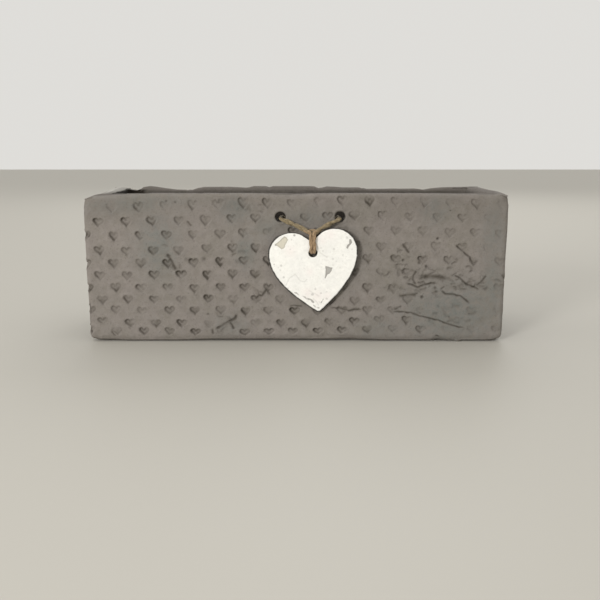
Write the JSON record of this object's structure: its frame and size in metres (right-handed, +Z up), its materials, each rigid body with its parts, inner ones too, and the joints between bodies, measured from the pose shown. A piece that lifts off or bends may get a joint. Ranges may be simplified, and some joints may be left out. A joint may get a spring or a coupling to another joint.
{
  "type": "trough planter",
  "caption": "Rectangular cast cement planting trough with heart outlines pressed in rows, and a heart tag hung on a twine loop through holes in its front wall.",
  "frame": {"origin": "middle of the flat base that the trough rests on", "axes": "+Z up, +X along the trough to the right as seen from the front, the wall with the tag faces -Y"},
  "size_m": [0.3, 0.1187, 0.107],
  "materials": {
    "cement": "dry cast cement, matt, with cool grey patches and dark pressed lines",
    "jute": "two-ply jute twine, loose fibres, matt",
    "whitewash": "thin wood, chalky whitewash with worn edges and small chips"
  },
  "bodies": {
    "trough": {"trough": "cement", "twine_left_run": "jute", "twine_right_run": "jute", "twine_knot": "jute"},
    "twine_loop": {"twine_left_arm": "jute", "twine_right_arm": "jute"},
    "hitch": {"hitch_knot": "jute"},
    "tag": {"heart_tag": "whitewash", "hitch_left_strand": "jute", "hitch_right_strand": "jute"}
  },
  "joints": [
    {"name": "twine_lift", "type": "hinge", "parent": "trough", "child": "twine_loop", "pos_m": [0.01, -0.05647, 0.0893], "axis": [-1, 0, 0], "range_deg": [0, 100]},
    {"name": "tag_tip", "type": "hinge", "parent": "twine_loop", "child": "hitch", "pos_m": [0.0115, -0.06084, 0.0796], "axis": [-1, 0, 0], "range_deg": [0, 75]},
    {"name": "tag_sway", "type": "hinge", "parent": "hitch", "child": "tag", "pos_m": [0.0115, -0.06084, 0.0796], "axis": [0, -0.9965, -0.0842], "range_deg": [-13, 2.5]}
  ]
}
